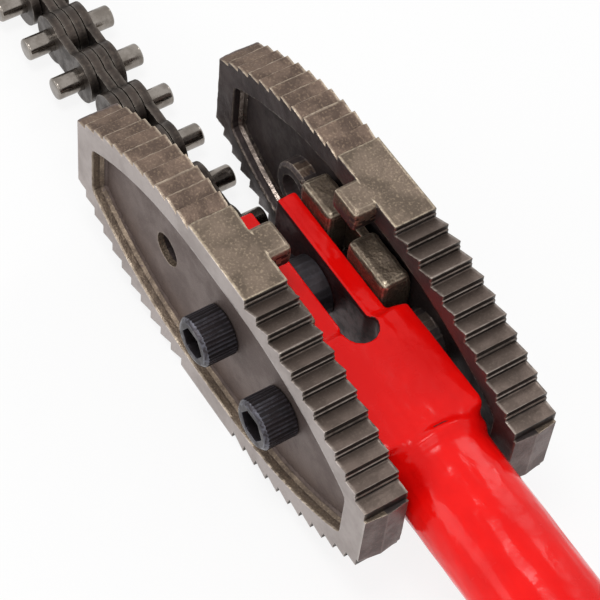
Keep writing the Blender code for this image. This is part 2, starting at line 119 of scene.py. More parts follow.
class Wiring:
    """A node tree that is filled in step by step."""

    def __init__(self, tree: bpy.types.NodeTree) -> None:
        """Take over a tree and empty it.

        Args:
            tree: The material's or the group's tree.
        """
        self.tree = tree
        tree.nodes.clear()

    def put(self, kind: str, feeds: dict[str | int, object] | None = None,
            **settings: object) -> bpy.types.Node:
        """Add a node, set it and feed its inputs.

        Args:
            kind: Blender's name of the node's type.
            feeds: Sockets or plain values for the inputs, by name or number.
            **settings: Values of the node itself.

        Returns:
            The new node.
        """
        node = self.tree.nodes.new(kind)
        for name, value in settings.items():
            setattr(node, name, value)
        for key, value in (feeds or {}).items():
            if isinstance(value, bpy.types.NodeSocket):
                self.tree.links.new(value, node.inputs[key])
            else:
                node.inputs[key].default_value = value
        return node

    def sum(self, operation: str, *values: object) -> bpy.types.NodeSocket:
        """Work out one number from others.

        Args:
            operation: Blender's name of the operation.
            *values: Sockets or plain numbers.

        Returns:
            The result's socket.
        """
        return self.put("ShaderNodeMath", dict(enumerate(values)), operation=operation).outputs[0]

    def spread(self, value: object, low: float, high: float, out_low: float = 0.0,
               out_high: float = 1.0) -> bpy.types.NodeSocket:
        """Stretch a range of values softly over another.

        Args:
            value: The socket to read.
            low: Value that gives the first result.
            high: Value that gives the second result.
            out_low: First result.
            out_high: Second result.

        Returns:
            The result's socket.
        """
        feeds = {0: value, 1: low, 2: high, 3: out_low, 4: out_high}
        return self.put("ShaderNodeMapRange", feeds, interpolation_type="SMOOTHSTEP").outputs[0]

    def blend(self, share: object, first: object, second: object) -> bpy.types.NodeSocket:
        """Mix two colours.

        Args:
            share: How much of the second colour shows.
            first: A colour or its socket.
            second: A colour or its socket.

        Returns:
            The mixed colour's socket.
        """
        feeds: dict[str | int, object] = {0: share}
        for socket, colour in zip(MIX_COLOURS, (first, second)):
            feeds[socket] = colour if isinstance(colour, bpy.types.NodeSocket) else (*colour, 1)
        return self.put("ShaderNodeMix", feeds, data_type="RGBA").outputs[MIX_RESULT]

    def grain(self, place: object, size: object, detail: float, roughness: float) -> bpy.types.NodeSocket:
        """Soft random values over the surface.

        Args:
            place: Socket of the place to read.
            size: Width of one patch in metres, as a number or a socket.
            detail: How many finer layers are added.
            roughness: How strong the finer layers are.

        Returns:
            Socket of a value about 0.5.
        """
        scale = self.sum("DIVIDE", 1.0, size)
        feeds = {"Vector": place, "Scale": scale, "Detail": detail, "Roughness": roughness}
        return self.put("ShaderNodeTexNoise", feeds).outputs["Fac"]

    def bump(self, height: object) -> bpy.types.NodeSocket:
        """Turn a height in metres into the normal of the relief."""
        return self.put("ShaderNodeBump", {"Height": height, "Distance": 1.0, "Strength": 1.0}).outputs[0]

    def seen(self) -> bpy.types.NodeSocket:
        """Tell where the camera, a reflection or glass looks straight at the surface.

        Returns:
            Socket of 1 there and 0 elsewhere.
        """
        path = self.put("ShaderNodeLightPath").outputs
        mirrored = self.sum("MAXIMUM", path["Is Camera Ray"], path["Is Glossy Ray"])
        return self.sum("MAXIMUM", mirrored, path["Is Transmission Ray"])


class Effect(Enum):
    """Shader node groups that more than one finish uses. Each is built once."""

    MOTTLE = "mottle"
    FINE_GRAIN = "fine_grain"
    EDGE_WEAR = "edge_wear"
    CORNER_DIRT_AND_SHADE = "corner_dirt_and_shade"
    CUT_LINES = "cut_lines"

    def group(self) -> bpy.types.NodeTree:
        """Find the effect's group, or build it at its first use.

        Returns:
            The node group.
        """
        made = bpy.data.node_groups.get(self.value)
        if made:
            return made
        tree = bpy.data.node_groups.new(self.value, "ShaderNodeTree")
        numbers, results = EFFECT_SOCKETS[self]
        tree.interface.new_socket("Place", in_out="INPUT", socket_type="NodeSocketVector")
        for name in numbers:
            tree.interface.new_socket(name, in_out="INPUT", socket_type="NodeSocketFloat")
        for name in results:
            tree.interface.new_socket(name, in_out="OUTPUT", socket_type="NodeSocketFloat")
        wiring = Wiring(tree)
        given = wiring.put("NodeGroupInput").outputs
        answers = EFFECT_MAKERS[self](wiring, given)
        wiring.put("NodeGroupOutput", dict(zip(results, answers)))
        return tree

    def place(self, wiring: Wiring, place: bpy.types.NodeSocket, **values: float) -> bpy.types.NodeOutputs:
        """Put the effect into a material with its own values.

        Args:
            wiring: The material's wiring.
            place: Socket of the place to read.
            **values: Values of the group's inputs, with underscores for blanks.

        Returns:
            The group node's outputs.
        """
        node = wiring.put("ShaderNodeGroup", node_tree=self.group())
        wiring.tree.links.new(place, node.inputs["Place"])
        for name, value in values.items():
            node.inputs[name.replace("_", " ").title()].default_value = value
        return node.outputs


def mottle(wiring: Wiring, given: bpy.types.NodeOutputs) -> list[bpy.types.NodeSocket]:
    """Broad patches and small specks, as on steel that was heated and scaled.

    Args:
        wiring: The group's wiring.
        given: The group's inputs.

    Returns:
        Sockets of the patches and the specks, from 0 to 1.
    """
    broad = wiring.grain(given["Place"], given["Patch Size"], detail=4.0, roughness=0.6)
    small = wiring.grain(given["Place"], given["Speck Size"], detail=3.0, roughness=0.5)
    return [wiring.spread(broad, low=0.36, high=0.64), wiring.spread(small, low=0.5, high=0.72)]


def fine_grain(wiring: Wiring, given: bpy.types.NodeOutputs) -> list[bpy.types.NodeSocket]:
    """Height of a cast or blasted surface.

    Args:
        wiring: The group's wiring.
        given: The group's inputs.

    Returns:
        The height's socket, in metres.
    """
    soft = wiring.grain(given["Place"], given["Grain Size"], detail=3.0, roughness=0.6)
    scale = wiring.sum("DIVIDE", PIT_DENSITY, given["Grain Size"])
    pits = wiring.put("ShaderNodeTexVoronoi", {"Vector": given["Place"], "Scale": scale}).outputs["Distance"]
    both = wiring.sum("ADD", soft, wiring.sum("MULTIPLY", pits, PIT_SHARE))
    return [wiring.sum("MULTIPLY", both, given["Depth"])]


def edge_wear(wiring: Wiring, given: bpy.types.NodeOutputs) -> list[bpy.types.NodeSocket]:
    """Where outer edges are rubbed bare.

    Args:
        wiring: The group's wiring.
        given: The group's inputs.

    Returns:
        Socket of the bare share, from 0 to 1.
    """
    edge = wiring.put("ShaderNodeAttribute", attribute_name="bare_edge").outputs["Fac"]
    broken = wiring.grain(given["Place"], given["Break Up Size"], detail=4.0, roughness=0.6)
    share = wiring.spread(broken, low=0.35, high=0.6, out_low=0.35)
    worn = wiring.sum("MULTIPLY", wiring.sum("MULTIPLY", edge, share), given["Amount"])
    return [wiring.sum("MINIMUM", worn, 1.0)]


def corner_dirt_and_shade(wiring: Wiring, given: bpy.types.NodeOutputs) -> list[bpy.types.NodeSocket]:
    """Where inner corners are darkened, for grime and old oil and as painted shade.

    Args:
        wiring: The group's wiring.
        given: The group's inputs.

    Returns:
        Socket of the darkened share, from 0 to 1.
    """
    corner = wiring.put("ShaderNodeAttribute", attribute_name="deep_corner").outputs["Fac"]
    broken = wiring.grain(given["Place"], given["Break Up Size"], detail=3.0, roughness=0.6)
    share = wiring.spread(broken, low=0.3, high=0.65, out_low=0.4)
    dirt_and_shade = wiring.sum("MULTIPLY", wiring.sum("MULTIPLY", corner, share), given["Amount"])
    return [wiring.sum("MINIMUM", dirt_and_shade, 1.0)]


def cut_lines(wiring: Wiring, given: bpy.types.NodeOutputs) -> list[bpy.types.NodeSocket]:
    """Fine lines that a cutter leaves across the tool.

    Args:
        wiring: The group's wiring.
        given: The group's inputs.

    Returns:
        Socket of the lines' height, from 0 to 1.
    """
    long = wiring.put("ShaderNodeVectorMath", {0: given["Place"], 1: LINE_STRETCH}, operation="MULTIPLY")
    return [wiring.grain(long.outputs[0], given["Line Size"], detail=2.0, roughness=0.7)]


EFFECT_SOCKETS = {
    Effect.MOTTLE: (("Patch Size", "Speck Size"), ("Patches", "Specks")),
    Effect.FINE_GRAIN: (("Grain Size", "Depth"), ("Height",)),
    Effect.EDGE_WEAR: (("Break Up Size", "Amount"), ("Wear",)),
    Effect.CORNER_DIRT_AND_SHADE: (("Break Up Size", "Amount"), ("Dirt And Shade",)),
    Effect.CUT_LINES: (("Line Size",), ("Lines",)),
}
EFFECT_MAKERS = {
    Effect.MOTTLE: mottle,
    Effect.FINE_GRAIN: fine_grain,
    Effect.EDGE_WEAR: edge_wear,
    Effect.CORNER_DIRT_AND_SHADE: corner_dirt_and_shade,
    Effect.CUT_LINES: cut_lines,
}


@dataclass(frozen=True)
class Finish:
    """A finish and the material that shows it."""

    name: str

    def feeds(self, wiring: Wiring) -> dict[str, object]:
        """Fill in a material's wiring, and give what feeds its shader. Each kind of finish has its own."""
        raise NotImplementedError

    def material(self) -> bpy.types.Material:
        """Find the finish's material, or build it at its first use.

        Returns:
            The material.
        """
        made = bpy.data.materials.get(self.name)
        if made:
            return made
        made = bpy.data.materials.new(self.name)
        made.use_nodes = True
        wiring = Wiring(made.node_tree)
        shader = wiring.put("ShaderNodeBsdfPrincipled", self.feeds(wiring))
        wiring.put("ShaderNodeOutputMaterial", {"Surface": shader.outputs[0]})
        return made


@dataclass(frozen=True)
class SteelFinish(Finish):
    """Steel with heat patches, specks, fine grain, worn edges, and grime with painted shade in its corners."""

    base: Colour
    patch: Colour
    speck: Colour
    bare: Colour
    dirt_and_shade: Colour
    metallic: float = 0.8
    smoothest: float = 0.38
    roughest: float = 0.58
    patch_size: float = 0.012
    speck_size: float = 0.0012
    speck_share: float = 0.35
    grain_size: float = 0.0007
    grain_depth: float = 0.00006
    wear: float = 0.8
    wear_break_up: float = 0.003
    wear_polish: float = 0.15
    dirt_and_shade_amount: float = 0.7
    dirt_and_shade_break_up: float = 0.004
    dirt_dulling: float = 0.15
    line_size: float = 0.0
    line_depth: float = 0.00002

    def feeds(self, wiring: Wiring) -> dict[str, object]:
        """Wire up patches, specks, wear, corner grime with painted shade, and relief.

        Args:
            wiring: The material's wiring.

        Returns:
            What feeds the material's shader.
        """
        place = wiring.put("ShaderNodeTexCoord").outputs["Object"]
        spots = Effect.MOTTLE.place(wiring, place, patch_size=self.patch_size, speck_size=self.speck_size)
        wear = Effect.EDGE_WEAR.place(wiring, place, break_up_size=self.wear_break_up,
                                      amount=self.wear)["Wear"]
        dirt_and_shade = Effect.CORNER_DIRT_AND_SHADE.place(wiring, place, break_up_size=self.dirt_and_shade_break_up,
                                         amount=self.dirt_and_shade_amount)["Dirt And Shade"]
        height = Effect.FINE_GRAIN.place(wiring, place, grain_size=self.grain_size,
                                         depth=self.grain_depth)["Height"]
        colour = wiring.blend(spots["Patches"], self.base, self.patch)
        specks = wiring.sum("MULTIPLY", spots["Specks"], self.speck_share)
        colour = wiring.blend(specks, colour, self.speck)
        # Painted shade: inner corners darken towards this colour, for shade there as well as for grime.
        colour = wiring.blend(dirt_and_shade, colour, self.dirt_and_shade)
        colour = wiring.blend(wear, colour, self.bare)
        if self.line_size:
            lines = Effect.CUT_LINES.place(wiring, place, line_size=self.line_size)["Lines"]
            height = wiring.sum("ADD", height, wiring.sum("MULTIPLY", lines, self.line_depth))
        rough = wiring.spread(spots["Patches"], low=0.0, high=1.0, out_low=self.smoothest,
                              out_high=self.roughest)
        rough = wiring.sum("SUBTRACT", rough, wiring.sum("MULTIPLY", wear, self.wear_polish))
        rough = wiring.sum("ADD", rough, wiring.sum("MULTIPLY", dirt_and_shade, self.dirt_dulling))
        return {"Base Color": colour, "Roughness": rough, "Metallic": self.metallic,
                "Normal": wiring.bump(height)}


@dataclass(frozen=True)
class PaintFinish(Finish):
    """Thick glossy paint or plastic with an uneven, lightly dimpled skin."""

    base: Colour
    deep: Colour
    dirt_and_shade: Colour
    smoothest: float = 0.12
    roughest: float = 0.28
    specular: float = 0.20
    patch_size: float = 0.030
    peel_size: float = 0.0050
    peel_depth: float = 0.00012
    dirt_and_shade_amount: float = 0.4
    dirt_and_shade_break_up: float = 0.006

    def feeds(self, wiring: Wiring) -> dict[str, object]:
        """Wire up patches, corner grime with painted shade, and dimples.

        Args:
            wiring: The material's wiring.

        Returns:
            What feeds the material's shader.
        """
        place = wiring.put("ShaderNodeTexCoord").outputs["Object"]
        spots = Effect.MOTTLE.place(wiring, place, patch_size=self.patch_size, speck_size=self.peel_size)
        dirt_and_shade = Effect.CORNER_DIRT_AND_SHADE.place(wiring, place, break_up_size=self.dirt_and_shade_break_up,
                                         amount=self.dirt_and_shade_amount)["Dirt And Shade"]
        height = Effect.FINE_GRAIN.place(wiring, place, grain_size=self.peel_size,
                                         depth=self.peel_depth)["Height"]
        colour = wiring.blend(spots["Patches"], self.base, self.deep)
        # Painted shade: inner corners of the paint darken towards this colour, for shade there as well as for
        # grime.
        colour = wiring.blend(dirt_and_shade, colour, self.dirt_and_shade)
        rough = wiring.spread(spots["Patches"], low=0.0, high=1.0, out_low=self.smoothest,
                              out_high=self.roughest)
        return {"Base Color": colour, "Roughness": rough, "Normal": wiring.bump(height),
                "Specular IOR Level": self.specular}


class Skin:
    """A mesh that starts as a copy of CAD nodes and is dressed step by step."""

    def __init__(self, name: str, *nodes: str) -> None:
        """Copy the nodes' shapes into one mesh, with their split points merged again.

        Args:
            name: Name of the piece to be.
            *nodes: The CAD nodes that it stands for.
        """
        self.name = name
        self.nodes = nodes
        self.shape = bmesh.new()
        for node in nodes:
            self.shape.from_mesh(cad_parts[node].data)
        bmesh.ops.remove_doubles(self.shape, verts=self.shape.verts, dist=MERGE_REACH)
        for layer in list(self.shape.loops.layers.uv):
            self.shape.loops.layers.uv.remove(layer)
        self.flattened()

    def flattened(self) -> Skin:
        """Join neighbouring faces that lie in one plane."""
        bmesh.ops.dissolve_limit(self.shape, angle_limit=SAME_PLANE, verts=self.shape.verts,
                                 edges=self.shape.edges)
        return self

    def everything(self) -> list[bmesh.types.BMVert | bmesh.types.BMEdge | bmesh.types.BMFace]:
        """List all points, edges and faces, as the cutting tools take them."""
        return [*self.shape.verts, *self.shape.edges, *self.shape.faces]

    def lathed(self, profile: list[tuple[float, float]], centre: Vector, sides: int) -> Skin:
        """Turn a profile about an axis along Y.

        Args:
            profile: Distances from the axis and places along it, from one end to the other.
            centre: The middle of the turned shape.
            sides: Facets around it.

        Returns:
            This skin.
        """
        line = [self.shape.verts.new(centre + Vector((0, height, radius))) for radius, height in profile]
        edges = [self.shape.edges.new(pair) for pair in zip(line, line[1:])]
        bmesh.ops.spin(self.shape, geom=[*line, *edges], cent=centre, axis=Vector((0, 1, 0)), angle=2 * pi,
                       steps=sides, use_merge=True)
        bmesh.ops.remove_doubles(self.shape, verts=self.shape.verts, dist=MERGE_REACH)
        bmesh.ops.recalc_face_normals(self.shape, faces=self.shape.faces)
        return self

    def turned_over(self, name: str, centre: Vector, *nodes: str) -> Skin:
        """Copy this skin, turned half round about the tool's length.

        Args:
            name: Name of the new piece.
            centre: A point on the axis of the turn.
            *nodes: The CAD nodes that it stands for.

        Returns:
            The new skin.
        """
        other = Skin.__new__(Skin)
        other.name, other.nodes, other.shape = name, nodes, self.shape.copy()
        turn = Matrix.Translation(centre) @ Matrix.Rotation(pi, 4, "X") @ Matrix.Translation(-centre)
        bmesh.ops.transform(other.shape, matrix=turn, verts=other.shape.verts)
        return other

    def moved(self, rule: Callable[[Vector], Vector]) -> Skin:
        """Move every point by a rule, and merge the points that meet.

        Args:
            rule: Gives a point's new place.

        Returns:
            This skin.
        """
        for vert in self.shape.verts:
            vert.co = rule(vert.co.copy())
        bmesh.ops.remove_doubles(self.shape, verts=self.shape.verts, dist=MOVED_MERGE_REACH)
        return self

    def rounded_out(self, centre: Vector, reach: float, radius: float, cuts: int = 3) -> Skin:
        """Turn the faceted edge of an eye or a hole along Y into a round one.

        Args:
            centre: A point on the eye's axis.
            reach: Distance of the edge's points from the axis.
            radius: Radius of the round edge.
            cuts: New points on each facet.

        Returns:
            This skin.
        """
        same_reach, same_side = 0.03 * MM, 0.01 * MM
        nearest, farthest = 0.93 * reach, 1.005 * reach

        def distance(vert: bmesh.types.BMVert) -> float:
            """Measure a point's distance from the eye's axis."""
            return hypot(vert.co.x - centre.x, vert.co.z - centre.z)

        edges = [edge for edge in self.shape.edges
                 if all(abs(distance(vert) - reach) < same_reach for vert in edge.verts)
                 and abs(edge.verts[0].co.y - edge.verts[1].co.y) < same_side]
        bmesh.ops.subdivide_edges(self.shape, edges=edges, cuts=cuts, use_grid_fill=True)
        for vert in self.shape.verts:
            away = distance(vert)
            if nearest < away < farthest:
                vert.co.x = centre.x + (vert.co.x - centre.x) * radius / away
                vert.co.z = centre.z + (vert.co.z - centre.z) * radius / away
        return self

    def ledged(self, x: float, z: float, width: float, drop: float) -> Skin:
        """Step the lower part of an upright face out along -X, as a cutter leaves it.

        Args:
            x: Place of the face.
            z: Height of the step.
            width: How far the lower part stands out.
            drop: Height of the sloping ledge. Negative on an underside.

        Returns:
            This skin.
        """
        side = 1 if drop > 0 else -1
        upright, same_place, face_reach, slack = 0.9, 0.2 * MM, 4 * MM, 0.02 * MM
        for height in (z, z - drop):
            faces = [face for face in self.shape.faces if abs(face.normal.x) > upright
                     and abs(face.calc_center_median().x - x) < same_place
                     and abs(face.calc_center_median().z - z) < face_reach]
            around = dict.fromkeys(item for face in faces for item in (*face.verts, *face.edges))
            bmesh.ops.bisect_plane(self.shape, geom=[*faces, *around], dist=CUT_SNAP,
                                   plane_co=Vector((x, 0, height)), plane_no=Vector((0, 0, 1)))
        for vert in self.shape.verts:
            depth = (z - vert.co.z) * side
            if abs(vert.co.x - x) < same_place and abs(drop) - slack < depth < face_reach:
                vert.co.x -= width
        return self

    def softened(self, width: float, sharper_than: float = 30.0, segments: int = 2) -> Skin:
        """Round the edges over.

        Args:
            width: How far the rounding reaches on each side.
            sharper_than: Least angle in degrees between two faces whose edge is rounded.
            segments: Facets of the rounding.

        Returns:
            This skin.
        """
        limit = radians(sharper_than)
        edges = [edge for edge in self.shape.edges
                 if len(edge.link_faces) == 2 and edge.calc_face_angle(0.0) > limit]
        bmesh.ops.bevel(self.shape, geom=edges, offset=width, offset_type="OFFSET", segments=segments,
                        profile=0.5, affect="EDGES", clamp_overlap=True)
        return self

    def gridded(self, step: float) -> Skin:
        """Cut the faces on planes a step apart, so that relief and wear have points to sit on.

        Args:
            step: Greatest distance between two planes.

        Returns:
            This skin.
        """
        for axis in range(3):
            places = [vert.co[axis] for vert in self.shape.verts]
            low, high = min(places), max(places)
            cuts = int((high - low) / step)
            for cut in range(1, cuts + 1):
                point, normal = Vector(), Vector()
                point[axis] = low + (high - low) * cut / (cuts + 1)
                normal[axis] = 1
                bmesh.ops.bisect_plane(self.shape, geom=self.everything(), dist=GRID_SNAP, plane_co=point,
                                       plane_no=normal)
        return self

    def rubbed(self, times: int, where: Place) -> Skin:
        """Wear corners round by pulling points towards their neighbours.

        Args:
            times: How often.
            where: Tells for a point whether it takes part.

        Returns:
            This skin.
        """
        chosen = [vert for vert in self.shape.verts if where(vert.co) > 0]
        for _ in range(times):
            bmesh.ops.smooth_vert(self.shape, verts=chosen, factor=0.5, use_axis_x=True, use_axis_y=True,
                                  use_axis_z=True)
        return self

    def uneven(self, depth: float, size: float, seed: float = 0.0, where: Place | None = None,
               stretch: float = 1.0) -> Skin:
        """Move points in and out a little, as forging, casting or paint leaves a surface.

        Args:
            depth: Greatest move.
            size: Width of a typical dent.
            seed: Sets one pattern apart from another.
            where: Share of the move at a point; the same everywhere if left out.
            stretch: How much longer the dents are along the tool than across it.

        Returns:
            This skin.
        """
        self.shape.normal_update()
        scale = Matrix.Diagonal((1 / stretch, 1, 1)) * (1 / size)
        shift = Vector([seed * stride for stride in SEED_STRIDES])
        steps = []
        for vert in self.shape.verts:
            height = noise.fractal(scale @ vert.co + shift, DENT_ROUGHNESS, DENT_STEP, DENT_LAYERS)
            move = height * depth * (where(vert.co) if where else 1)
            steps.append((vert, vert.normal * min(depth, max(-depth, move))))
        for vert, step in steps:
            vert.co += step
        return self

    def remeshed(self, voxel: float, swell: float, smoothing: int) -> Skin:
        """Grow the solids together into one smooth closed skin, as thick paint does.

        Args:
            voxel: Size of the new mesh's cells.
            swell: How far the solids grow first, so that hairline gaps between them close.
            smoothing: How often the new mesh is smoothed.

        Returns:
            This skin.
        """
        self.shape.normal_update()
        steps = [(vert, vert.normal * swell * vert.calc_shell_factor()) for vert in self.shape.verts]
        for vert, step in steps:
            vert.co += step
        mesh = bpy.data.meshes.new(self.name)
        self.shape.to_mesh(mesh)
        item = bpy.data.objects.new(self.name, mesh)
        bpy.context.scene.collection.objects.link(item)
        cells = item.modifiers.new("cells", "REMESH")
        cells.mode = "VOXEL"
        cells.voxel_size = voxel
        soft = item.modifiers.new("soft", "SMOOTH")
        soft.factor = 0.5
        soft.iterations = smoothing
        view = bpy.context.evaluated_depsgraph_get()
        made = bpy.data.meshes.new_from_object(item.evaluated_get(view))
        bpy.data.objects.remove(item)
        bpy.data.meshes.remove(mesh)
        self.shape.clear()
        self.shape.from_mesh(made)
        bpy.data.meshes.remove(made)
        self.shape.normal_update()
        for vert in self.shape.verts:
            vert.co -= vert.normal * swell
        return self

    def marked(self, softest: float = 9.0, sharpest: float = 32.0) -> Skin:
        """Write down where the skin has outer edges and inner corners, for wear and for grime with painted
        shade.

        Args:
            softest: Angle in degrees at which an edge begins to count.
            sharpest: Angle in degrees at which it counts in full.

        Returns:
            This skin.
        """
        bare = self.shape.verts.layers.float.new("bare_edge")
        deep = self.shape.verts.layers.float.new("deep_corner")
        low, high = radians(softest), radians(sharpest)
        for vert in self.shape.verts:
            angles = [edge.calc_face_angle_signed(0.0) for edge in vert.link_edges
                      if len(edge.link_faces) == 2]
            vert[bare] = smooth_step(low, high, max(angles, default=0.0))
            vert[deep] = smooth_step(low, high, -min(angles, default=0.0))
        return self

    def piece(self, body: str, slot: Slot, finishes: Iterable[Finish],
              choose: Callable[[Vector, Vector], int] | None = None, sharp: float = 60.0) -> bpy.types.Object:
        """Make the object, give it its finishes and let it stand for its CAD nodes.

        Args:
            body: The CAD body that it rides on.
            slot: The record's material slot. Not used.
            finishes: The finishes that it wears.
            choose: Gives the number of a face's finish from its middle and its normal.
            sharp: Angle in degrees from which an edge is drawn sharp.

        Returns:
            The new object.
        """
        self.shape.normal_update()
        for face in self.shape.faces:
            face.material_index = choose(face.calc_center_median(), face.normal) if choose else 0
        mesh = bpy.data.meshes.new(self.name)
        self.shape.to_mesh(mesh)
        self.shape.free()
        for finish in finishes:
            mesh.materials.append(finish.material())
        mesh.shade_smooth()
        mesh.set_sharp_from_angle(angle=radians(sharp))
        item = bpy.data.objects.new(self.name, mesh)
        bpy.context.scene.collection.objects.link(item)
        weighted = item.modifiers.new("flat faces stay flat", "WEIGHTED_NORMAL")
        weighted.keep_sharp = True
        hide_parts(*self.nodes)
        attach(item, body)
        LOG.info("%s: %d faces", self.name, len(mesh.polygons))
        return item


# A near-black for inner corners: soot and painted shade.
SOOT_AND_SHADE = shade(38, 32, 30)
RIM = SteelFinish("machined_rim", base=shade(170, 160, 156), patch=shade(154, 144, 140),
                  speck=shade(126, 114, 108), bare=shade(202, 194, 188), dirt_and_shade=shade(96, 84, 76),
                  metallic=0.75, smoothest=0.42, roughest=0.52, patch_size=0.030, speck_size=0.0016,
                  speck_share=0.16, grain_depth=0.00002, wear=0.5)
SCALE = SteelFinish("forged_scale", base=shade(112, 94, 82), patch=shade(88, 73, 64),
                    speck=shade(150, 130, 110), bare=shade(196, 180, 160), dirt_and_shade=shade(42, 34, 29),
                    metallic=0.7, smoothest=0.46, roughest=0.62, patch_size=0.010, speck_size=0.0010,
                    speck_share=0.5, grain_size=0.0010, grain_depth=0.00020, wear=0.95, line_size=0.0008,
                    line_depth=0.00006)
TREAD = SteelFinish("cut_tread", base=shade(112, 98, 90), patch=shade(92, 80, 73),
                    speck=shade(142, 128, 116), bare=shade(166, 156, 148), dirt_and_shade=shade(38, 32, 29),
                    metallic=0.75, smoothest=0.40, roughest=0.52, patch_size=0.010, speck_size=0.0010,
                    speck_share=0.25, grain_depth=0.00004, wear=0.75, line_size=0.0006,
                    line_depth=0.00005)
# Painted shade: the teeth's upright risers get a near-black colour for the shade that the teeth cast into them.
SHADED_RISER = SteelFinish("shaded_riser", base=shade(36, 29, 27), patch=shade(27, 22, 20),
                    speck=shade(56, 46, 42), bare=shade(160, 150, 140), dirt_and_shade=shade(24, 19, 17),
                    metallic=0.6, smoothest=0.42, roughest=0.56, patch_size=0.008, grain_depth=0.00004,
                    wear=0.5, line_size=0.0006)
LAND = SteelFinish("forged_land", base=shade(120, 105, 92), patch=shade(94, 82, 71),
                   speck=shade(168, 150, 128), bare=shade(210, 194, 170), dirt_and_shade=shade(60, 51, 43),
                   metallic=0.75, smoothest=0.38, roughest=0.56, patch_size=0.013, speck_size=0.0010,
                   speck_share=0.45, grain_size=0.0010, grain_depth=0.00016, wear=0.9)
POCKET = SteelFinish("cast_pocket", base=shade(110, 96, 91), patch=shade(97, 84, 80),
                     speck=shade(132, 116, 107), bare=shade(168, 154, 142), dirt_and_shade=shade(56, 47, 43),
                     metallic=0.7, smoothest=0.46, roughest=0.58, patch_size=0.018, speck_size=0.0008,
                     speck_share=0.3, grain_size=0.0006, grain_depth=0.00010, wear=0.6)
WALL = SteelFinish("rough_wall", base=shade(138, 122, 106), patch=shade(112, 98, 86),
                   speck=shade(176, 158, 136), bare=shade(196, 182, 164), dirt_and_shade=shade(58, 48, 42),
                   metallic=0.7, smoothest=0.42, roughest=0.60, patch_size=0.008, speck_size=0.0008,
                   speck_share=0.55, grain_size=0.0008, grain_depth=0.00018, wear=0.8)
# Painted shade: the jaws' inner faces are darker than pocket and rim, partly dark steel and partly the shade
# between the jaws.
DARK_AND_SHADED_INNER = SteelFinish("dark_and_shaded_inner", base=shade(88, 78, 77), patch=shade(68, 60, 60),
                    speck=shade(92, 80, 76), bare=shade(160, 146, 132), dirt_and_shade=SOOT_AND_SHADE, metallic=0.65,
                    smoothest=0.44, roughest=0.58, patch_size=0.014, grain_size=0.0009,
                    grain_depth=0.00010, wear=0.6)
# Painted highlight: the inner pocket's fillet is smoother and much lighter than the dark inner faces round it.
POLISHED_FILLET_HIGHLIGHT = SteelFinish("polished_fillet_highlight", base=shade(146, 134, 126), patch=shade(108, 97, 90),
                     speck=shade(176, 160, 146), bare=shade(210, 198, 184), dirt_and_shade=SOOT_AND_SHADE, metallic=0.85,
                     smoothest=0.26, roughest=0.42, patch_size=0.010, grain_size=0.0009,
                     grain_depth=0.00014, wear=0.6, dirt_and_shade_amount=0.3)
PAD = SteelFinish("forged_pad", base=shade(118, 104, 90), patch=shade(88, 76, 66),
                  speck=shade(164, 148, 126), bare=shade(200, 186, 164), dirt_and_shade=shade(44, 36, 31),
                  metallic=0.75, smoothest=0.40, roughest=0.58, patch_size=0.008, speck_size=0.0011,
                  speck_share=0.45, grain_size=0.0010, grain_depth=0.00018, wear=0.85)
END_FACE = SteelFinish("forged_end", base=shade(106, 92, 88), patch=shade(92, 80, 77),
                       speck=shade(130, 114, 106), bare=shade(168, 156, 148), dirt_and_shade=shade(60, 50, 46),
                       metallic=0.7, smoothest=0.44, roughest=0.56, patch_size=0.012, grain_depth=0.00008,
                       wear=0.6)
PLATE = SteelFinish("tumbled_plate", base=shade(74, 66, 61), patch=shade(56, 50, 46),
                    speck=shade(104, 92, 82), bare=shade(176, 168, 158), dirt_and_shade=shade(26, 22, 20),
                    metallic=0.85, smoothest=0.30, roughest=0.46, patch_size=0.009, speck_size=0.0014,
                    speck_share=0.3, grain_depth=0.00005, wear=0.7)
PIN = SteelFinish("ground_pin", base=shade(150, 143, 136), patch=shade(122, 115, 108),
                  speck=shade(104, 97, 90), bare=shade(190, 186, 178), dirt_and_shade=shade(50, 43, 37),
                  metallic=1.0, smoothest=0.14, roughest=0.24, patch_size=0.007, speck_size=0.0010,
                  speck_share=0.25, grain_size=0.0006, grain_depth=0.00001, wear=0.4, dirt_and_shade_amount=0.5)
OXIDE = SteelFinish("oiled_oxide", base=shade(56, 50, 53), patch=shade(44, 40, 43),
                    speck=shade(74, 68, 72), bare=shade(112, 112, 122), dirt_and_shade=shade(16, 15, 15),
                    metallic=0.7, smoothest=0.32, roughest=0.46, patch_size=0.007, speck_size=0.0010,
                    speck_share=0.3, grain_depth=0.00003, wear=0.7)
# Painted shade: the slot's walls are dark oily steel that also stands for the shade inside the slot.
OILY_SLOT_SHADE = SteelFinish("oily_slot_shade", base=shade(88, 42, 42), patch=shade(58, 36, 38), speck=shade(120, 50, 48),
                   bare=shade(120, 60, 58), dirt_and_shade=shade(20, 16, 16), metallic=0.4, smoothest=0.32,
                   roughest=0.5, patch_size=0.007, grain_depth=0.00004, wear=0.3)
PAINT = PaintFinish("thick_paint", base=shade(246, 14, 10), deep=shade(232, 8, 7), dirt_and_shade=shade(130, 8, 7))
PLASTIC = PaintFinish("moulded_plastic", base=shade(34, 34, 36), deep=shade(28, 28, 30),
                      dirt_and_shade=shade(18, 17, 17), smoothest=0.42, roughest=0.55, peel_size=0.0012,
                      peel_depth=0.00003)


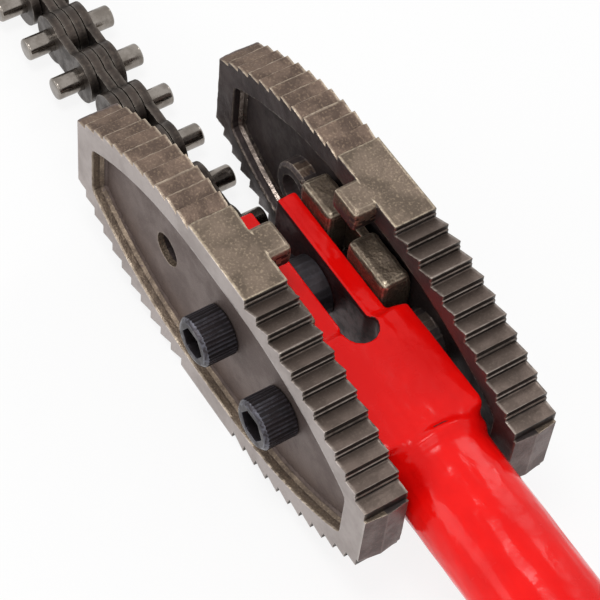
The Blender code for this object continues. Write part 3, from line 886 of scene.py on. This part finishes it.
@dataclass
class Jaws:
    """The two toothed jaws and the spacers in their inner pockets.

    The first sizes are the solids' own. Then come those of edges, ledges and pads, of clogged and blunt places,
    of the forging's dents, and of where one finish gives way to another. A facing is a share of the normal.
    """

    inner_face: float = 23.5 * MM
    outer_face: float = 42.0 * MM
    land_height: float = 46.6 * MM
    land_half: float = 19.4 * MM
    crest_radius: float = 155.0 * MM
    crest_setback: float = 6.3 * MM
    crest_end_share: float = 0.95
    last_tip: float = 102.2 * MM
    teeth_per_quarter: int = 11
    tooth_depth: float = 4.6 * MM
    front_end: float = 103.4 * MM
    rear_end: float = 104.6 * MM
    middle_half: float = 12.0 * MM
    lug_half: float = 7.8 * MM
    lug_drop: float = 0.3 * MM
    lug_margin: float = 0.1 * MM
    lug_drop_margin: float = 0.05 * MM
    ledge_share: float = 0.55
    ledge_width: float = 0.5 * MM
    ledge_drop: float = 0.25 * MM
    edge_round: float = 0.45 * MM
    pad_round: float = 1.1 * MM
    pad_foot: float = 16.0 * MM
    pad_lean: float = 0.22
    pad_blend: float = 7.0 * MM
    cell: float = 1.25 * MM
    clog_margin: float = 0.2 * MM
    clog_share: float = 0.42
    clog_spread: float = 0.12
    clog_size: float = 9.0 * MM
    clog_fade: float = 2.2
    blunt_end: float = 3.6 * MM
    blunt_lug_side: float = 2.0 * MM
    blunt_lug_run: float = 1.5 * MM
    blunt_lug_height: float = 30.0 * MM
    forging: float = 0.16 * MM
    dent_size: float = 6.0 * MM
    fine_dent_share: float = 0.7
    fine_dent_size: float = 2.1 * MM
    pad_dent_share: float = 2.0
    pad_dent_size: float = 5.0 * MM
    pad_fine_dent_share: float = 0.8
    pad_fine_dent_size: float = 1.8 * MM
    fine_seed: float = 7.0
    machined_depth: float = 1.0 * MM
    machined_share: float = 0.12
    scaled_from: float = 0.6
    scaled_share: float = 1.3
    cut_share: float = 0.25
    plain_share: float = 0.8
    rim_depth: float = 0.6 * MM
    rim_facing: float = 0.3
    lug_start: float = 0.3 * MM
    lug_depth: float = 14.0 * MM
    fillet_side: float = 31.0 * MM
    fillet_facings: tuple[float, float] = (0.2, 0.93)
    fillet_end: float = 8.0 * MM
    side_facing: float = 0.5
    end_block: float = 12.0 * MM
    wall_side: float = 33.0 * MM
    end_depth: float = 2.2 * MM
    land_facing: float = 0.7
    riser_facing: float = 0.86
    centre: Vector = field(default_factory=Vector)

    finishes = (RIM, SCALE, TREAD, SHADED_RISER, LAND, POCKET, WALL, DARK_AND_SHADED_INNER, END_FACE, POLISHED_FILLET_HIGHLIGHT)

    def __post_init__(self) -> None:
        """Take the front screw's middle from the frame."""
        low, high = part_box("front_screw")
        self.centre = Vector(((low.x + high.x) / 2, 0, (low.z + high.z) / 2))

    @property
    def crest_x(self) -> float:
        """Place of the middle of the teeth's arc along the tool."""
        return self.land_half - self.crest_setback

    @property
    def crest_z(self) -> float:
        """Height of the middle of the teeth's arc."""
        return self.land_height - sqrt(self.crest_radius ** 2 - self.crest_setback ** 2)

    def crest(self, x: float) -> float:
        """Height of the line through the tooth tips at a place along the tool."""
        along = min(abs(abs(x) - self.crest_x), self.crest_end_share * self.crest_radius)
        return self.crest_z + sqrt(self.crest_radius ** 2 - along ** 2)

    def tips(self) -> list[tuple[float, float]]:
        """Work out the tooth tips of one quarter, from the land outwards.

        Returns:
            Each tip's distance along the tool and its height.
        """
        start = asin(self.crest_setback / self.crest_radius)
        stop = asin((self.last_tip - self.crest_x) / self.crest_radius)
        turns = [start + (stop - start) * tooth / self.teeth_per_quarter
                 for tooth in range(self.teeth_per_quarter + 1)]
        return [(self.crest_x + self.crest_radius * sin(turn), self.crest_z + self.crest_radius * cos(turn))
                for turn in turns]

    def lugs_flush(self, point: Vector) -> Vector:
        """Raise the lugs' outer faces to the lands, which the forging runs into them.

        Args:
            point: A point on a jaw.

        Returns:
            Its new place.
        """
        x, y, z = point - self.centre
        on_lug = abs(x) < self.lug_half + self.lug_margin and abs(y) < self.inner_face + self.lug_margin
        if on_lug and abs(abs(z) - self.land_height) < self.lug_drop + self.lug_drop_margin:
            point.z = self.centre.z + self.land_height * (1 if z > 0 else -1)
        return point

    def clogged(self, point: Vector) -> Vector:
        """Fill the roots of the upper front teeth in part, which scale and wear have blunted.

        Args:
            point: A point on a jaw.

        Returns:
            Its new place.
        """
        x, _, z = point - self.centre
        if x < self.land_half - self.clog_margin or z < self.middle_half:
            return point
        depth = self.crest(x) - z
        share = self.clog_share + self.clog_spread * noise.noise(point / self.clog_size)
        share *= 1 - smooth_step(self.tooth_depth, self.clog_fade * self.tooth_depth, depth)
        point.z += depth * share if depth > 0 else 0
        return point

    def leaning(self, point: Vector) -> Vector:
        """Narrow a spacer's pads towards their ends on the side of the jaw.

        Args:
            point: A point on a spacer.

        Returns:
            Its new place.
        """
        _, y, z = point - self.centre
        above = max(0.0, abs(z) - self.pad_foot)
        share = smooth_step(self.inner_face - self.pad_blend, self.inner_face, abs(y))
        point.y -= above * self.pad_lean * share * (1 if y > 0 else -1)
        return point

    def finish_of(self, middle: Vector, normal: Vector) -> int:
        """Tell which finish a face of a jaw wears.

        Args:
            middle: The face's middle.
            normal: The face's normal.

        Returns:
            The finish's number in the class's list.
        """
        return self.finishes.index(self.finish_at(middle - self.centre, normal))

    def finish_at(self, place: Vector, normal: Vector) -> SteelFinish:
        """Tell which finish a jaw wears at a place.

        Args:
            place: The place, counted from the front screw's middle.
            normal: The surface's normal there.

        Returns:
            The finish.
        """
        x, y, z = place
        out, y = normal.y * (1 if y > 0 else -1), abs(y)
        outward = normal.x * x + normal.z * z
        flattest, steepest = self.fillet_facings
        on_lug = y < self.inner_face - self.lug_start and abs(z) > self.land_height - self.lug_depth
        at_fillet = y < self.fillet_side and abs(x) < self.front_end - self.fillet_end
        in_middle = abs(z) < self.middle_half and abs(x) < self.front_end - self.end_block
        if y > self.outer_face - self.rim_depth and out > self.rim_facing:
            return RIM
        if on_lug and z * normal.z > 0:
            return LAND
        # Painted highlight on the pocket's fillet.
        if at_fillet and outward < 0 and flattest < abs(out) < steepest:
            return POLISHED_FILLET_HIGHLIGHT
        # Painted shade on the faces turned towards the other jaw.
        if out < -self.side_facing:
            return DARK_AND_SHADED_INNER
        if out > self.side_facing:
            return POCKET
        # Walls turned inwards; the inner ones take the painted shade.
        if outward < 0 or in_middle:
            return WALL if y > self.wall_side else DARK_AND_SHADED_INNER
        if x > self.front_end - self.end_depth or x < self.end_depth - self.rear_end:
            return END_FACE
        if abs(x) < self.land_half and abs(normal.z) > self.land_facing:
            return LAND
        # Painted shade on the teeth's upright risers.
        if abs(normal.x) > self.riser_facing:
            return SHADED_RISER
        return SCALE if x > 0 else TREAD

    def roughly_forged(self, point: Vector) -> float:
        """Give the share of the forging's unevenness at a point: little on what was machined.

        Args:
            point: A point on a jaw.

        Returns:
            The share, which is above 1 on the scaled front teeth.
        """
        x, y, z = point - self.centre
        y = abs(y)
        if y > self.outer_face - self.machined_depth:
            return self.machined_share
        if x > self.land_half * self.scaled_from and abs(z) > self.middle_half:
            return self.scaled_share
        if x < -self.land_half and y > self.inner_face:
            return self.cut_share
        return self.plain_share

    def blunt(self, point: Vector) -> float:
        """Tell whether a point is at one of the corners that the forging left round.

        Args:
            point: A point on a jaw.

        Returns:
            1 if it is and 0 if not.
        """
        x, y, z = point - self.centre
        at_end = x > self.front_end - self.blunt_end
        beside_lug = (abs(y) < self.inner_face + self.blunt_lug_side
                      and abs(x) < self.lug_half + self.blunt_lug_run)
        return 1.0 if at_end or beside_lug and abs(z) > self.blunt_lug_height else 0.0

    def build_jaws(self) -> list[bpy.types.Object]:
        """Dress both jaws.

        Returns:
            The two pieces.
        """
        left = Skin("dressed_left_jaw", "left_jaw").moved(self.lugs_flush).flattened()
        for x, z in self.tips()[:-1]:
            for side in (1, -1):
                height = self.centre.z + side * (z - self.ledge_share * self.tooth_depth)
                left.ledged(self.centre.x - x, height, self.ledge_width, side * self.ledge_drop)
        left.softened(self.edge_round).gridded(self.cell).rubbed(10, self.blunt)
        right = left.turned_over("dressed_right_jaw", self.centre, "right_jaw")
        made = []
        for skin, seed in ((left, 0.0), (right, 31.0)):
            skin.moved(self.clogged).marked(softest=6, sharpest=26)
            skin.uneven(self.forging, self.dent_size, seed, self.roughly_forged)
            skin.uneven(self.forging * self.fine_dent_share, self.fine_dent_size, seed + self.fine_seed,
                        self.roughly_forged)
            made.append(skin.piece("tool", Slot.JAW_STEEL, self.finishes, self.finish_of))
        return made

    def build_spacers(self) -> list[bpy.types.Object]:
        """Dress both spacers, whose pads the forging left lumpy.

        Returns:
            The two pieces.
        """
        left = Skin("dressed_left_spacer", "left_spacer").softened(self.pad_round, sharper_than=20)
        left.gridded(self.cell).moved(self.leaning).rubbed(3, lambda point: 1.0)
        right = left.turned_over("dressed_right_spacer", self.centre, "right_spacer")
        made = []
        for skin, seed in ((left, 3.0), (right, 17.0)):
            skin.marked(softest=6, sharpest=24)
            skin.uneven(self.forging * self.pad_dent_share, self.pad_dent_size, seed)
            skin.uneven(self.forging * self.pad_fine_dent_share, self.pad_fine_dent_size,
                        seed + self.fine_seed)
            made.append(skin.piece("tool", Slot.JAW_STEEL, (PAD,)))
        return made


@dataclass
class PaintedHandle:
    """The forked head, the weld and the tube under one coat of paint, and the plug in the tube's end."""

    voxel: float = 0.8 * MM
    swell: float = 0.60 * MM
    smoothing: int = 3
    weld_smoothing: int = 16
    weld_reach: float = 3.0 * MM
    stub: float = 52.0 * MM
    stub_cut: float = 6.0 * MM
    sides: int = 96
    wall: float = 3.2 * MM
    bore: float = 14.0 * MM
    near_rings: int = 48
    near_step: float = 2.4 * MM
    far_step: float = 8.0 * MM
    ring_merge: float = 0.3 * MM
    sag: float = 0.30 * MM
    sag_size: float = 15.0 * MM
    sag_seed: float = 5.0
    sag_stretch: float = 5.0
    dimple_share: float = 0.5
    dimple_size: float = 5.0 * MM
    dimple_seed: float = 11.0
    dimple_stretch: float = 2.0
    slot_half: float = 7.4 * MM
    slot_end: float = -30.0 * MM
    slot_end_run: float = 14.0 * MM
    top_facing: float = 0.75
    slot_end_facing: float = 0.3
    plug_round: float = 0.4 * MM
    plug_cell: float = 3.0 * MM
    centre: Vector = field(default_factory=Vector)

    def rings(self, length: float) -> list[float]:
        """Give the steps between the tube's rings, close together where the weld is near.

        Args:
            length: Length of the tube behind its stub.

        Returns:
            The steps, which add up to the length.
        """
        near = [self.near_step] * self.near_rings
        rest = length - sum(near)
        count = round(rest / self.far_step)
        return [*near, *[rest / count] * count]

    def painted(self) -> Skin:
        """Grow the head, the weld and a stub of the tube together, and draw the rest of the tube out of it.

        Returns:
            The skin of all three.
        """
        low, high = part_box("handle_tube")
        middle, radius = (low.z + high.z) / 2, (high.z - low.z) / 2
        skin = Skin("painted_handle", "fork_head", "weld_bead")
        skin.nodes = (*skin.nodes, "handle_tube")
        place = Matrix.Translation((high.x - self.stub / 2, 0, middle)) @ Matrix.Rotation(pi / 2, 4, "Y")
        bmesh.ops.create_cone(skin.shape, cap_ends=True, segments=self.sides, radius1=radius, radius2=radius,
                              depth=self.stub, matrix=place)
        skin.remeshed(self.voxel, self.swell, self.smoothing)
        weld_rear, weld_front = (corner.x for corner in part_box("weld_bead"))
        rear, front = weld_rear - self.weld_reach, weld_front + self.weld_reach
        skin.rubbed(self.weld_smoothing, lambda point: rear < point.x < front)
        shape = skin.shape
        cut = high.x - self.stub + self.stub_cut
        bmesh.ops.bisect_plane(shape, geom=skin.everything(), dist=CUT_SNAP,
                               plane_co=Vector((cut, 0, 0)), plane_no=Vector((1, 0, 0)), clear_inner=True)
        rim = [edge for edge in shape.edges if edge.is_boundary]
        ring = list(dict.fromkeys(vert for edge in rim for vert in edge.verts))
        for vert in ring:
            away = Vector((0, vert.co.y, vert.co.z - middle))
            vert.co = Vector((cut, 0, middle)) + away.normalized() * radius
        bmesh.ops.remove_doubles(shape, verts=ring, dist=self.ring_merge)
        rim = [edge for edge in shape.edges if edge.is_boundary]
        inside = 1 - self.wall / radius
        moves = [(-step, 1.0) for step in self.rings(cut - low.x)] + [(0.0, inside), (self.bore, 1.0)]
        for along, share in moves:
            made = bmesh.ops.extrude_edge_only(shape, edges=rim)["geom"]
            rim = [item for item in made if isinstance(item, bmesh.types.BMEdge) and item.is_boundary]
            for vert in (item for item in made if isinstance(item, bmesh.types.BMVert)):
                x, y, z = vert.co
                vert.co = Vector((x + along, y * share, middle + (z - middle) * share))
        bmesh.ops.edgeloop_fill(shape, edges=rim)
        bmesh.ops.recalc_face_normals(shape, faces=shape.faces)
        return skin

    def finish_of(self, middle: Vector, normal: Vector) -> int:
        """Tell whether a face is painted, or lies in the slot, where the chain's anchor rubs and oil sits, and
        whose dark walls are also painted shade.

        Args:
            middle: The face's middle.
            normal: The face's normal.

        Returns:
            0 for paint and 1 for oily steel with painted shade.
        """
        x, y, _ = middle - self.centre
        if abs(y) > self.slot_half or abs(normal.z) > self.top_facing:
            return 0
        inner_wall = normal.y * y < 0 and x > self.slot_end - self.slot_end_run
        slot_end = normal.x > self.slot_end_facing and x < self.slot_end
        return 1 if inner_wall or slot_end else 0

    def outside_slot(self, point: Vector) -> float:
        """Keep the slot's walls even, as the anchor link runs close to them."""
        x, y, _ = point - self.centre
        return 0.0 if abs(y) < self.slot_half and x > self.slot_end - self.slot_end_run else 1.0

    def build(self) -> list[bpy.types.Object]:
        """Dress the handle and its plug.

        Returns:
            The two pieces.
        """
        skin = self.painted()
        skin.uneven(self.sag, self.sag_size, self.sag_seed, self.outside_slot, self.sag_stretch)
        skin.uneven(self.sag * self.dimple_share, self.dimple_size, self.dimple_seed, self.outside_slot,
                    self.dimple_stretch)
        skin.marked(softest=14, sharpest=40)
        handle = skin.piece("tool", Slot.RED_PAINT, (PAINT, OILY_SLOT_SHADE), self.finish_of, sharp=80)
        plug = Skin("dressed_end_plug", "end_plug").softened(self.plug_round).gridded(self.plug_cell).marked()
        return [handle, plug.piece("tool", Slot.BLACK_PLASTIC, (PLASTIC,))]


@dataclass
class Fasteners:
    """The two socket screws and their nuts."""

    edge_round: float = 0.25 * MM
    cell: float = 1.5 * MM

    def build(self) -> list[bpy.types.Object]:
        """Dress the screws and the nuts.

        Returns:
            The four pieces.
        """
        made = []
        for name in ("front_screw", "rear_screw", "front_nut", "rear_nut"):
            skin = Skin(f"dressed_{name}", name).softened(self.edge_round, sharper_than=55)
            skin.gridded(self.cell).marked(softest=20, sharpest=50)
            made.append(skin.piece("tool", Slot.BLACK_OXIDE, (OXIDE,), sharp=35))
        return made


@dataclass
class Chain:
    """The anchor link, and the plates and pins of the chain."""

    eye_radius: float = 11.2 * MM
    anchor_eye_radius: float = 12.5 * MM
    hole_reach: float = 5.487 * MM
    pin_radius: float = 5.0 * MM
    pin_fit: float = 0.14 * MM
    pin_corner: float = 1.0 * MM
    pin_dome: float = 0.12 * MM
    pin_sides: int = 48
    pin_rows: int = 24
    corner_rows: int = 4
    plate_round: float = 0.55 * MM
    cell: float = 1.7 * MM
    stamping: float = 0.07 * MM
    stamp_size: float = 5.0 * MM
    stamp_seed_step: float = 1.3
    anchor_stamp_size: float = 6.0 * MM
    turning: float = 0.02 * MM
    turning_size: float = 3.0 * MM
    turning_seed_step: float = 50.0

    def body_of(self, name: str) -> str:
        """Name the body of a link's node, such as link_01 for link_01_front_pin."""
        return name[:len("link_01")]

    def plate(self, name: str, number: int) -> bpy.types.Object:
        """Dress one plate, with round ends and with holes that fit its pins.

        Args:
            name: The plate's CAD node.
            number: Sets its relief apart from the others.

        Returns:
            The piece.
        """
        skin = Skin(f"dressed_{name}", name)
        low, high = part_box(name)
        for x in (low.x + self.eye_radius, high.x - self.eye_radius):
            eye = Vector((x, 0, (low.z + high.z) / 2))
            skin.rounded_out(eye, self.eye_radius, self.eye_radius)
            skin.rounded_out(eye, self.hole_reach, self.pin_radius + self.pin_fit, cuts=2)
        skin.softened(self.plate_round, sharper_than=50, segments=3).gridded(self.cell).marked()
        skin.uneven(self.stamping, self.stamp_size, number * self.stamp_seed_step)
        return skin.piece(self.body_of(name), Slot.PLATE_STEEL, (PLATE,))

    def pin(self, name: str) -> bpy.types.Object:
        """Turn one pin, with slightly domed ends.

        Args:
            name: The pin's CAD node.

        Returns:
            The piece.
        """
        low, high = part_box(name)
        half = (high.y - low.y) / 2
        flat, edge = self.pin_radius - self.pin_corner, half - self.pin_dome
        corner = [(flat + self.pin_corner * sin(turn), edge - self.pin_corner * (1 - cos(turn)))
                  for turn in (pi / 2 * row / self.corner_rows for row in range(self.corner_rows + 1))]
        side = [(self.pin_radius, (edge - self.pin_corner) * (1 - 2 * row / self.pin_rows))
                for row in range(1, self.pin_rows)]
        lower = [(radius, -height) for radius, height in reversed(corner)]
        profile = [(0, half), (flat / 2, half - self.pin_dome / 4), *corner, *side, *lower,
                   (flat / 2, self.pin_dome / 4 - half), (0, -half)]
        skin = Skin(f"dressed_{name}")
        skin.nodes = (name,)
        skin.lathed(profile, (low + high) / 2, self.pin_sides).marked(softest=16)
        skin.uneven(self.turning, self.turning_size, low.x * self.turning_seed_step)
        return skin.piece(self.body_of(name), Slot.PIN_STEEL, (PIN,), sharp=70)

    def anchor(self, centre: Vector) -> bpy.types.Object:
        """Dress the anchor link.

        Args:
            centre: The front screw's middle, on which its eye turns.

        Returns:
            The piece.
        """
        low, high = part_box("link_01_rear_pin")
        skin = Skin("dressed_anchor_link", "anchor_link")
        skin.rounded_out((low + high) / 2, self.eye_radius, self.eye_radius)
        skin.rounded_out(centre, self.anchor_eye_radius, self.anchor_eye_radius)
        skin.softened(self.plate_round, sharper_than=50, segments=3).gridded(self.cell).marked()
        skin.uneven(self.stamping, self.anchor_stamp_size)
        return skin.piece("anchor", Slot.BLACK_OXIDE, (OXIDE,), sharp=35)

    def build(self, centre: Vector) -> list[bpy.types.Object]:
        """Dress the anchor link and every plate and pin.

        Args:
            centre: The front screw's middle.

        Returns:
            The pieces, from the anchor link outwards.
        """
        made = [self.anchor(centre)]
        for number, name in enumerate(sorted(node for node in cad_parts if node.startswith("link_"))):
            made.append(self.plate(name, number) if name.endswith("plate") else self.pin(name))
        return made


@dataclass(frozen=True)
class Lamp:
    """A soft rectangular lamp. Its place is counted from the front screw's middle, at which it points."""

    name: str
    place: tuple[float, float, float]
    width: float
    length: float
    power: float

    def hang(self, scene: bpy.types.Scene, target: Vector) -> None:
        """Hang the lamp.

        Args:
            scene: The scene that it lights.
            target: The front screw's middle.
        """
        data = bpy.data.lights.new(self.name, "AREA")
        data.shape = "RECTANGLE"
        data.size, data.size_y, data.energy = self.width, self.length, self.power
        place = Vector(self.place) + target
        item = bpy.data.objects.new(self.name, data)
        item.location = place
        item.rotation_euler = (target - place).to_track_quat("-Z", "Y").to_euler()
        scene.collection.objects.link(item)


@dataclass
class Studio:
    """A pale floor, soft lamps and a camera at the photograph's angle."""

    azimuth: float = radians(141.43)
    elevation: float = radians(54.99)
    roll: float = radians(7.15)
    focal_pixels: float = 2207.9
    image_width: int = 600
    sensor: float = 36.0
    nearest: float = 0.05
    farthest: float = 50.0
    eye: tuple[float, float, float] = (-383.0 * MM, 306.7 * MM, 693.0 * MM)
    floor_half: float = 6.0
    floor_colour: Colour = (0.96, 0.96, 0.96)
    fill: float = 0.54
    glow: float = 0.85
    lamps: tuple[Lamp, ...] = (
        Lamp("overhead_lamp", place=(0.05, 0.25, 1.40), width=0.45, length=0.45, power=6.0),
        Lamp("left_lamp", place=(0.45, 1.10, 0.42), width=1.50, length=0.35, power=4.0),
        Lamp("right_lamp", place=(0.55, -1.15, 0.95), width=0.35, length=0.90, power=3.2),
        Lamp("rear_lamp", place=(-0.95, 0.20, 1.30), width=0.60, length=0.60, power=2.4),
    )

    def build(self, centre: Vector) -> None:
        """Set up floor, world, lamps and camera.

        Args:
            centre: The front screw's middle, from which the eye's place is counted.
        """
        scene = bpy.context.scene
        scene.view_settings.view_transform = "Standard"
        self.floor()
        self.world(scene)
        for lamp in self.lamps:
            lamp.hang(scene, centre)
        self.camera(scene, centre)

    def floor(self) -> None:
        """Lay a pale floor under the tool."""
        shape = bmesh.new()
        bmesh.ops.create_grid(shape, x_segments=1, y_segments=1, size=self.floor_half)
        mesh = bpy.data.meshes.new("floor")
        shape.to_mesh(mesh)
        shape.free()
        material = bpy.data.materials.new("pale_floor")
        material.use_nodes = True
        wiring = Wiring(material.node_tree)
        seen = wiring.seen()
        plain = wiring.put("ShaderNodeBsdfDiffuse", {"Color": (*self.floor_colour, 1)}).outputs[0]
        white = wiring.put("ShaderNodeEmission", {"Color": (1, 1, 1, 1), "Strength": 1.0}).outputs[0]
        share = wiring.sum("MULTIPLY", seen, self.glow)
        both = wiring.put("ShaderNodeMixShader", {0: share, 1: plain, 2: white}).outputs[0]
        wiring.put("ShaderNodeOutputMaterial", {"Surface": both})
        mesh.materials.append(material)
        item = bpy.data.objects.new("floor", mesh)
        bpy.context.scene.collection.objects.link(item)

    def world(self, scene: bpy.types.Scene) -> None:
        """Give the world a soft fill for light, and white where it is seen.

        Args:
            scene: The scene that the world belongs to.
        """
        world = bpy.data.worlds.new("studio")
        world.use_nodes = True
        wiring = Wiring(world.node_tree)
        seen = wiring.seen()
        soft = wiring.put("ShaderNodeBackground", {"Color": (1, 1, 1, 1), "Strength": self.fill}).outputs[0]
        white = wiring.put("ShaderNodeBackground", {"Color": (1, 1, 1, 1), "Strength": 1.0}).outputs[0]
        both = wiring.put("ShaderNodeMixShader", {0: seen, 1: soft, 2: white}).outputs[0]
        wiring.put("ShaderNodeOutputWorld", {"Surface": both})
        scene.world = world

    def camera(self, scene: bpy.types.Scene, centre: Vector) -> None:
        """Put the camera where the photograph was taken from.

        Args:
            scene: The scene that it films.
            centre: The front screw's middle.
        """
        back = Vector((cos(self.elevation) * cos(self.azimuth), cos(self.elevation) * sin(self.azimuth),
                       sin(self.elevation)))
        right = (-back).cross(Vector((0, 0, 1))).normalized()
        up = right.cross(-back)
        level = Matrix((right, up, back)).transposed()
        data = bpy.data.cameras.new("camera")
        data.sensor_width = self.sensor
        data.lens = self.focal_pixels / self.image_width * self.sensor
        data.clip_start, data.clip_end = self.nearest, self.farthest
        item = bpy.data.objects.new("camera", data)
        turn = level @ Matrix.Rotation(self.roll, 3, "Z")
        item.matrix_world = Matrix.Translation(centre + Vector(self.eye)) @ turn.to_4x4()
        scene.collection.objects.link(item)
        scene.camera = item


def main() -> None:
    """Build the studio and dress the tool, part by part, and log the faces of each piece and of all."""
    logging.basicConfig(level=logging.INFO, format="%(message)s")
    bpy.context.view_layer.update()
    jaws = Jaws()
    Studio().build(jaws.centre)
    made = [*PaintedHandle(centre=jaws.centre).build(), *jaws.build_jaws(), *jaws.build_spacers(),
            *Fasteners().build(), *Chain().build(jaws.centre)]
    LOG.info("%d pieces, %d faces", len(made), sum(len(item.data.polygons) for item in made))


if __name__ == "__main__":
    main()
